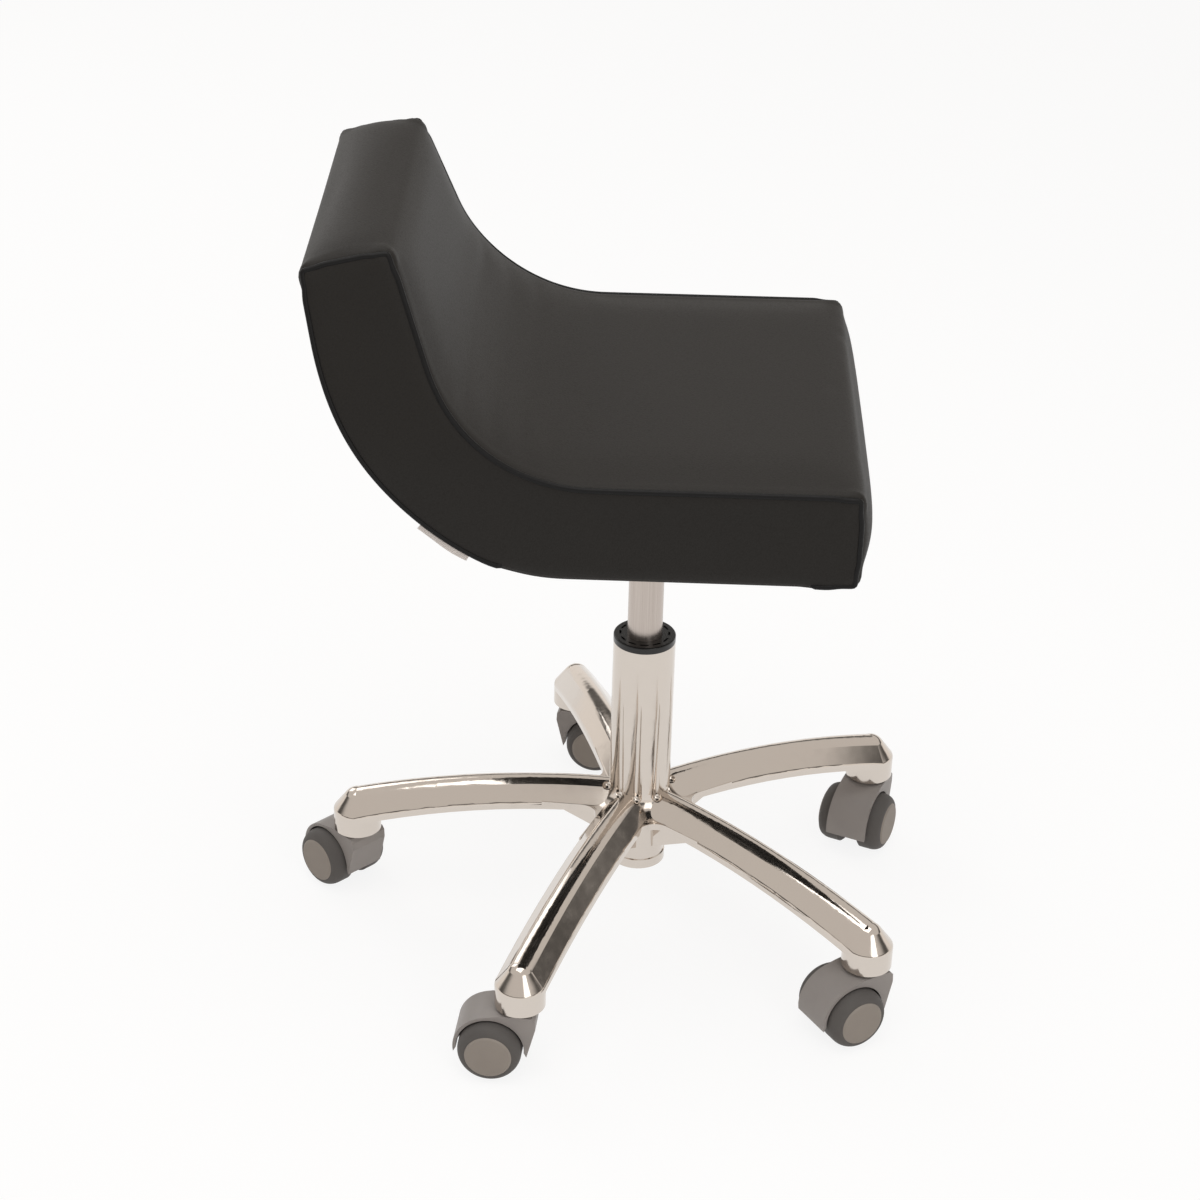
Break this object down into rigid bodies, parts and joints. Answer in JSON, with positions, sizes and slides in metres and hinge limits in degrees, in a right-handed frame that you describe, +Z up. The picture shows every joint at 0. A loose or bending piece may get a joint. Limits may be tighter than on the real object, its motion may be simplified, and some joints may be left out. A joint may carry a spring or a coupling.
{
  "type": "rolling stylist stool",
  "caption": "Low-back upholstered stool on a gas lift and a five-arm polished cast base with hooded twin-wheel casters.",
  "frame": {"origin": "on the floor, on the axis of the column and gas lift", "axes": "+Z up along the column; the seat faces -Y, so +X is the sitter's left"},
  "size_m": [0.5058, 0.51, 0.6435],
  "materials": {
    "cast_aluminium": "polished die casting",
    "chrome": "ground and chromed tube",
    "steel": "zinc plated",
    "black_steel": "black powder coat",
    "black_plastic": "moulded nylon",
    "rubber": "moulded",
    "plywood": "moulded beech plywood",
    "foam": "cut polyurethane foam",
    "vinyl": "matt charcoal vinyl, fine grain",
    "vinyl_panel": "matt charcoal vinyl, fine grain",
    "piping": "black vinyl over cord",
    "dust_cloth": "non-woven polypropylene",
    "label": "blank white woven tape",
    "hood_plastic": "grey moulded nylon",
    "wheel_plastic": "warm grey moulded nylon",
    "tyre_rubber": "dark grey polyurethane"
  },
  "bodies": {
    "base": {"star_base": "cast_aluminium", "guide_bush": "black_plastic", "thrust_race_lower": "steel"},
    "piston": {"piston_rod": "chrome", "thrust_ball_cage": "steel", "thrust_race_upper": "steel", "bump_buffer": "rubber", "rod_retaining_clip": "steel"},
    "seat": {"seat_shell": "plywood", "tee_nuts": "steel", "plate_bolts": "steel", "seat_foam": "foam", "seat_cover": "vinyl", "dust_cover": "dust_cloth", "side_panel_right": "vinyl_panel", "side_panel_left": "vinyl_panel", "piping_right": "piping", "piping_left": "piping", "side_label": "label", "seat_plate": "black_steel", "lever_pivot_pin": "steel", "pressure_tube": "chrome"},
    "lever": {"lever": "steel", "lever_handle": "black_plastic"},
    "release_pin": {"release_pin": "steel"},
    "caster_1": {"caster_1_hood": "hood_plastic", "caster_1_stem": "steel", "caster_1_axle": "steel"},
    "caster_1_roller_a": {"caster_1_wheel_a": "wheel_plastic", "caster_1_tyre_a": "tyre_rubber"},
    "caster_1_roller_b": {"caster_1_wheel_b": "wheel_plastic", "caster_1_tyre_b": "tyre_rubber"},
    "caster_2": {"caster_2_hood": "hood_plastic", "caster_2_stem": "steel", "caster_2_axle": "steel"},
    "caster_2_roller_a": {"caster_2_wheel_a": "wheel_plastic", "caster_2_tyre_a": "tyre_rubber"},
    "caster_2_roller_b": {"caster_2_wheel_b": "wheel_plastic", "caster_2_tyre_b": "tyre_rubber"},
    "caster_3": {"caster_3_hood": "hood_plastic", "caster_3_stem": "steel", "caster_3_axle": "steel"},
    "caster_3_roller_a": {"caster_3_wheel_a": "wheel_plastic", "caster_3_tyre_a": "tyre_rubber"},
    "caster_3_roller_b": {"caster_3_wheel_b": "wheel_plastic", "caster_3_tyre_b": "tyre_rubber"},
    "caster_4": {"caster_4_hood": "hood_plastic", "caster_4_stem": "steel", "caster_4_axle": "steel"},
    "caster_4_roller_a": {"caster_4_wheel_a": "wheel_plastic", "caster_4_tyre_a": "tyre_rubber"},
    "caster_4_roller_b": {"caster_4_wheel_b": "wheel_plastic", "caster_4_tyre_b": "tyre_rubber"},
    "caster_5": {"caster_5_hood": "hood_plastic", "caster_5_stem": "steel", "caster_5_axle": "steel"},
    "caster_5_roller_a": {"caster_5_wheel_a": "wheel_plastic", "caster_5_tyre_a": "tyre_rubber"},
    "caster_5_roller_b": {"caster_5_wheel_b": "wheel_plastic", "caster_5_tyre_b": "tyre_rubber"}
  },
  "joints": [
    {"name": "seat_swivel", "type": "hinge", "parent": "base", "child": "piston", "pos_m": [0, 0, 0.0616], "axis": [0, 0, 1], "continuous": true},
    {"name": "gas_lift", "type": "slide", "parent": "piston", "child": "seat", "axis": [0, 0, 1], "range_m": [-0.068, 0.06]},
    {"name": "height_lever", "type": "hinge", "parent": "seat", "child": "lever", "pos_m": [0.022, 0, 0.3948], "axis": [0, -1, 0], "range_deg": [0, 6], "stiffness_Nm_per_rad": 0.8},
    {"name": "release_pin_press", "type": "slide", "parent": "seat", "child": "release_pin", "axis": [0, 0, -1], "range_m": [0, 0.003]},
    {"name": "caster_1_swivel", "type": "hinge", "parent": "base", "child": "caster_1", "pos_m": [0.12644, -0.19962, 0.0585], "axis": [0, 0, 1], "continuous": true},
    {"name": "caster_1_roll_a", "type": "hinge", "parent": "caster_1", "child": "caster_1_roller_a", "pos_m": [0.10724, -0.19112, 0.025], "axis": [-0.4051, -0.9143, 0], "continuous": true},
    {"name": "caster_1_roll_b", "type": "hinge", "parent": "caster_1", "child": "caster_1_roller_b", "pos_m": [0.10724, -0.19112, 0.025], "axis": [-0.4051, -0.9143, 0], "continuous": true},
    {"name": "caster_2_swivel", "type": "hinge", "parent": "base", "child": "caster_2", "pos_m": [0.22893, 0.05857, 0.0585], "axis": [0, 0, 1], "continuous": true},
    {"name": "caster_2_roll_a", "type": "hinge", "parent": "caster_2", "child": "caster_2_roller_a", "pos_m": [0.2255, 0.03785, 0.025], "axis": [0.9866, -0.1633, 0], "continuous": true},
    {"name": "caster_2_roll_b", "type": "hinge", "parent": "caster_2", "child": "caster_2_roller_b", "pos_m": [0.2255, 0.03785, 0.025], "axis": [0.9866, -0.1633, 0], "continuous": true},
    {"name": "caster_3_swivel", "type": "hinge", "parent": "base", "child": "caster_3", "pos_m": [0.01504, 0.23582, 0.0585], "axis": [0, 0, 1], "continuous": true},
    {"name": "caster_3_roll_a", "type": "hinge", "parent": "caster_3", "child": "caster_3_roller_a", "pos_m": [0.02971, 0.25085, 0.025], "axis": [-0.7157, 0.6984, 0], "continuous": true},
    {"name": "caster_3_roll_b", "type": "hinge", "parent": "caster_3", "child": "caster_3_roller_b", "pos_m": [0.02971, 0.25085, 0.025], "axis": [-0.7157, 0.6984, 0], "continuous": true},
    {"name": "caster_4_swivel", "type": "hinge", "parent": "base", "child": "caster_4", "pos_m": [-0.21963, 0.08718, 0.0585], "axis": [0, 0, 1], "continuous": true},
    {"name": "caster_4_roll_a", "type": "hinge", "parent": "caster_4", "child": "caster_4_roller_a", "pos_m": [-0.21787, 0.10811, 0.025], "axis": [-0.9965, 0.0837, 0], "continuous": true},
    {"name": "caster_4_roll_b", "type": "hinge", "parent": "caster_4", "child": "caster_4_roller_b", "pos_m": [-0.21787, 0.10811, 0.025], "axis": [-0.9965, 0.0837, 0], "continuous": true},
    {"name": "caster_5_swivel", "type": "hinge", "parent": "base", "child": "caster_5", "pos_m": [-0.15078, -0.18194, 0.0585], "axis": [0, 0, 1], "continuous": true},
    {"name": "caster_5_roll_a", "type": "hinge", "parent": "caster_5", "child": "caster_5_roller_a", "pos_m": [-0.16194, -0.16415, 0.025], "axis": [-0.8471, -0.5314, 0], "continuous": true},
    {"name": "caster_5_roll_b", "type": "hinge", "parent": "caster_5", "child": "caster_5_roller_b", "pos_m": [-0.16194, -0.16415, 0.025], "axis": [-0.8471, -0.5314, 0], "continuous": true}
  ],
  "couplings": [
    {"joint": "release_pin_press", "follows": "height_lever", "m_per_rad": 0.0235}
  ]
}
